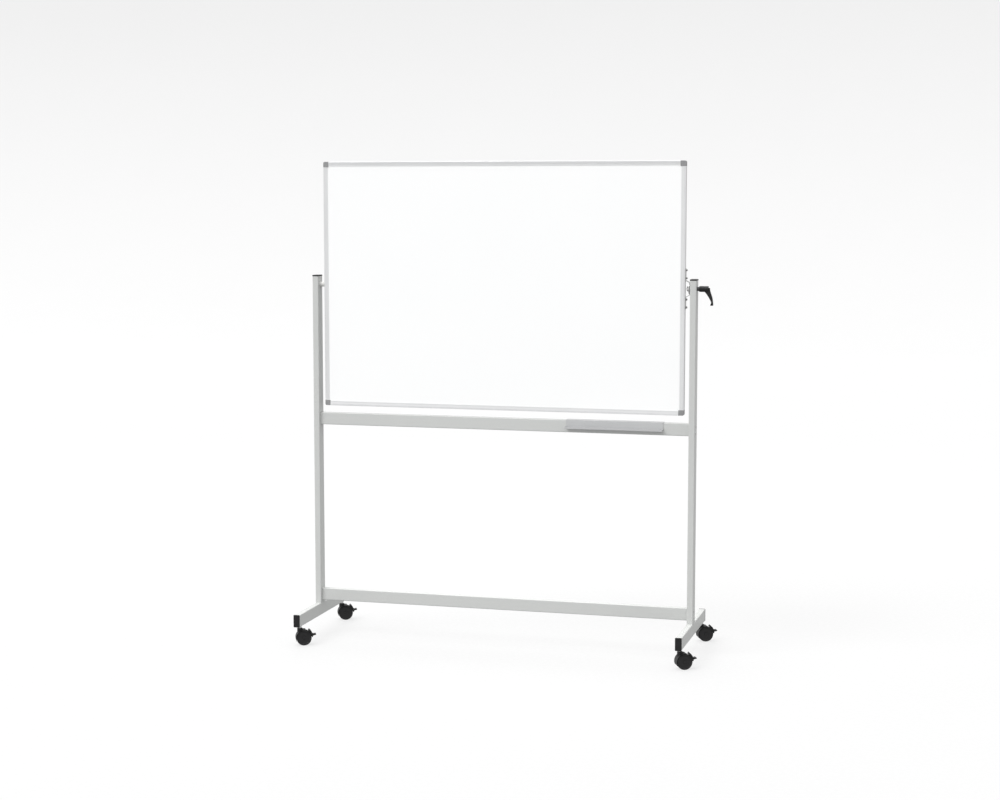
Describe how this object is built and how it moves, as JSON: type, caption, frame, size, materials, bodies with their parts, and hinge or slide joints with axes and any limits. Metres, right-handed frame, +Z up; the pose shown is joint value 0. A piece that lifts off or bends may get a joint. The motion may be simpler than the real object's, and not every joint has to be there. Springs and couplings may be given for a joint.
{
  "type": "rolling whiteboard",
  "caption": "Reversible framed whiteboard pivoting between two tube posts on a castored stand, with a side clamping lever and a sliding pen tray.",
  "frame": {"origin": "on the floor, under the middle of the board's pivot axis, midway between the two posts", "axes": "+X to the writer's right, towards the clamping lever; +Y away from the writer; +Z up"},
  "size_m": [1.6685, 0.5767, 1.962],
  "materials": {
    "stand_paint": "satin",
    "black_plastic": "satin",
    "plug_steel": "satin",
    "bolt_steel": "satin",
    "bush_nylon": "satin",
    "washer_fibre": "matte",
    "writing_enamel": "gloss",
    "core_board": "matte",
    "frame_aluminium": "satin",
    "corner_plastic": "satin",
    "bracket_steel": "satin",
    "tray_paint": "satin",
    "castor_plastic": "satin",
    "wheel_plastic": "satin",
    "axle_steel": "satin"
  },
  "bodies": {
    "stand": {"upright_left": "stand_paint", "upright_right": "stand_paint", "mid_crossbar": "stand_paint", "base_crossbar": "stand_paint", "foot_left": "stand_paint", "foot_right": "stand_paint", "upright_caps": "black_plastic", "foot_caps": "black_plastic", "crossbar_plugs": "plug_steel", "crossbar_bolts": "bolt_steel", "foot_bolts": "bolt_steel", "upright_plugs": "plug_steel", "pivot_bush": "bush_nylon", "clamp_sleeve": "plug_steel", "friction_washer": "washer_fibre", "castor_stems": "bolt_steel", "castor_nuts": "bolt_steel"},
    "board": {"front_sheet": "writing_enamel", "rear_sheet": "writing_enamel", "panel_core": "core_board", "frame_top": "frame_aluminium", "frame_bottom": "frame_aluminium", "frame_left": "frame_aluminium", "frame_right": "frame_aluminium", "corner_cap_top_left": "corner_plastic", "corner_cap_top_right": "corner_plastic", "corner_cap_bottom_left": "corner_plastic", "corner_cap_bottom_right": "corner_plastic", "clamp_bracket": "bracket_steel", "bracket_screws": "bolt_steel", "clamp_plate": "bolt_steel", "clamp_nut": "bolt_steel", "pivot_anchor": "plug_steel", "pivot_bolt": "bolt_steel"},
    "clamp_screw": {"clamp_stud": "bolt_steel", "lever_screw": "bolt_steel", "lever_spring": "bolt_steel"},
    "clamp_handle": {"lever_handle": "black_plastic"},
    "pen_tray": {"pen_tray": "tray_paint"},
    "castor_front_left": {"castor_housing_front_left": "castor_plastic", "castor_axle_front_left": "axle_steel"},
    "wheel_front_left_near": {"wheel_front_left_near": "wheel_plastic"},
    "wheel_front_left_far": {"wheel_front_left_far": "wheel_plastic"},
    "brake_pedal_front_left": {"brake_pedal_front_left": "castor_plastic"},
    "castor_front_right": {"castor_housing_front_right": "castor_plastic", "castor_axle_front_right": "axle_steel"},
    "wheel_front_right_near": {"wheel_front_right_near": "wheel_plastic"},
    "wheel_front_right_far": {"wheel_front_right_far": "wheel_plastic"},
    "brake_pedal_front_right": {"brake_pedal_front_right": "castor_plastic"},
    "castor_rear_left": {"castor_housing_rear_left": "castor_plastic", "castor_axle_rear_left": "axle_steel"},
    "wheel_rear_left_near": {"wheel_rear_left_near": "wheel_plastic"},
    "wheel_rear_left_far": {"wheel_rear_left_far": "wheel_plastic"},
    "brake_pedal_rear_left": {"brake_pedal_rear_left": "castor_plastic"},
    "castor_rear_right": {"castor_housing_rear_right": "castor_plastic", "castor_axle_rear_right": "axle_steel"},
    "wheel_rear_right_near": {"wheel_rear_right_near": "wheel_plastic"},
    "wheel_rear_right_far": {"wheel_rear_right_far": "wheel_plastic"},
    "brake_pedal_rear_right": {"brake_pedal_rear_right": "castor_plastic"}
  },
  "joints": [
    {"name": "board_flip", "type": "hinge", "parent": "stand", "child": "board", "pos_m": [0, 0, 1.462], "axis": [1, 0, 0], "continuous": true},
    {"name": "clamp_turn", "type": "hinge", "parent": "stand", "child": "clamp_screw", "pos_m": [0.797, 0, 1.462], "axis": [1, 0, 0], "range_deg": [0, 180]},
    {"name": "handle_lift", "type": "slide", "parent": "clamp_screw", "child": "clamp_handle", "axis": [1, 0, 0], "range_m": [0, 0.0045], "stiffness_N_per_m": 1500, "springref_m": -0.003, "deforming": ["lever_spring"]},
    {"name": "tray_slide", "type": "slide", "parent": "stand", "child": "pen_tray", "axis": [1, 0, 0], "range_m": [-1.04, 0.1]},
    {"name": "swivel_front_left", "type": "hinge", "parent": "stand", "child": "castor_front_left", "pos_m": [-0.7845, -0.242, 0.065], "axis": [0, 0, 1], "continuous": true},
    {"name": "roll_front_left_near", "type": "hinge", "parent": "castor_front_left", "child": "wheel_front_left_near", "pos_m": [-0.77, -0.23524, 0.0305], "axis": [0.4226, -0.9063, 0], "continuous": true},
    {"name": "roll_front_left_far", "type": "hinge", "parent": "castor_front_left", "child": "wheel_front_left_far", "pos_m": [-0.77, -0.23524, 0.0305], "axis": [0.4226, -0.9063, 0], "continuous": true},
    {"name": "brake_front_left", "type": "hinge", "parent": "castor_front_left", "child": "brake_pedal_front_left", "pos_m": [-0.76028, -0.23071, 0.0395], "axis": [-0.4226, 0.9063, 0], "range_deg": [0, 10]},
    {"name": "swivel_front_right", "type": "hinge", "parent": "stand", "child": "castor_front_right", "pos_m": [0.7845, -0.242, 0.065], "axis": [0, 0, 1], "continuous": true},
    {"name": "roll_front_right_near", "type": "hinge", "parent": "castor_front_right", "child": "wheel_front_right_near", "pos_m": [0.799, -0.23524, 0.0305], "axis": [0.4226, -0.9063, 0], "continuous": true},
    {"name": "roll_front_right_far", "type": "hinge", "parent": "castor_front_right", "child": "wheel_front_right_far", "pos_m": [0.799, -0.23524, 0.0305], "axis": [0.4226, -0.9063, 0], "continuous": true},
    {"name": "brake_front_right", "type": "hinge", "parent": "castor_front_right", "child": "brake_pedal_front_right", "pos_m": [0.80872, -0.23071, 0.0395], "axis": [-0.4226, 0.9063, 0], "range_deg": [0, 10]},
    {"name": "swivel_rear_left", "type": "hinge", "parent": "stand", "child": "castor_rear_left", "pos_m": [-0.7845, 0.26, 0.065], "axis": [0, 0, 1], "continuous": true},
    {"name": "roll_rear_left_near", "type": "hinge", "parent": "castor_rear_left", "child": "wheel_rear_left_near", "pos_m": [-0.77, 0.26676, 0.0305], "axis": [0.4226, -0.9063, 0], "continuous": true},
    {"name": "roll_rear_left_far", "type": "hinge", "parent": "castor_rear_left", "child": "wheel_rear_left_far", "pos_m": [-0.77, 0.26676, 0.0305], "axis": [0.4226, -0.9063, 0], "continuous": true},
    {"name": "brake_rear_left", "type": "hinge", "parent": "castor_rear_left", "child": "brake_pedal_rear_left", "pos_m": [-0.76028, 0.27129, 0.0395], "axis": [-0.4226, 0.9063, 0], "range_deg": [0, 10]},
    {"name": "swivel_rear_right", "type": "hinge", "parent": "stand", "child": "castor_rear_right", "pos_m": [0.7845, 0.26, 0.065], "axis": [0, 0, 1], "continuous": true},
    {"name": "roll_rear_right_near", "type": "hinge", "parent": "castor_rear_right", "child": "wheel_rear_right_near", "pos_m": [0.799, 0.26676, 0.0305], "axis": [0.4226, -0.9063, 0], "continuous": true},
    {"name": "roll_rear_right_far", "type": "hinge", "parent": "castor_rear_right", "child": "wheel_rear_right_far", "pos_m": [0.799, 0.26676, 0.0305], "axis": [0.4226, -0.9063, 0], "continuous": true},
    {"name": "brake_rear_right", "type": "hinge", "parent": "castor_rear_right", "child": "brake_pedal_rear_right", "pos_m": [0.80872, 0.27129, 0.0395], "axis": [-0.4226, 0.9063, 0], "range_deg": [0, 10]}
  ]
}
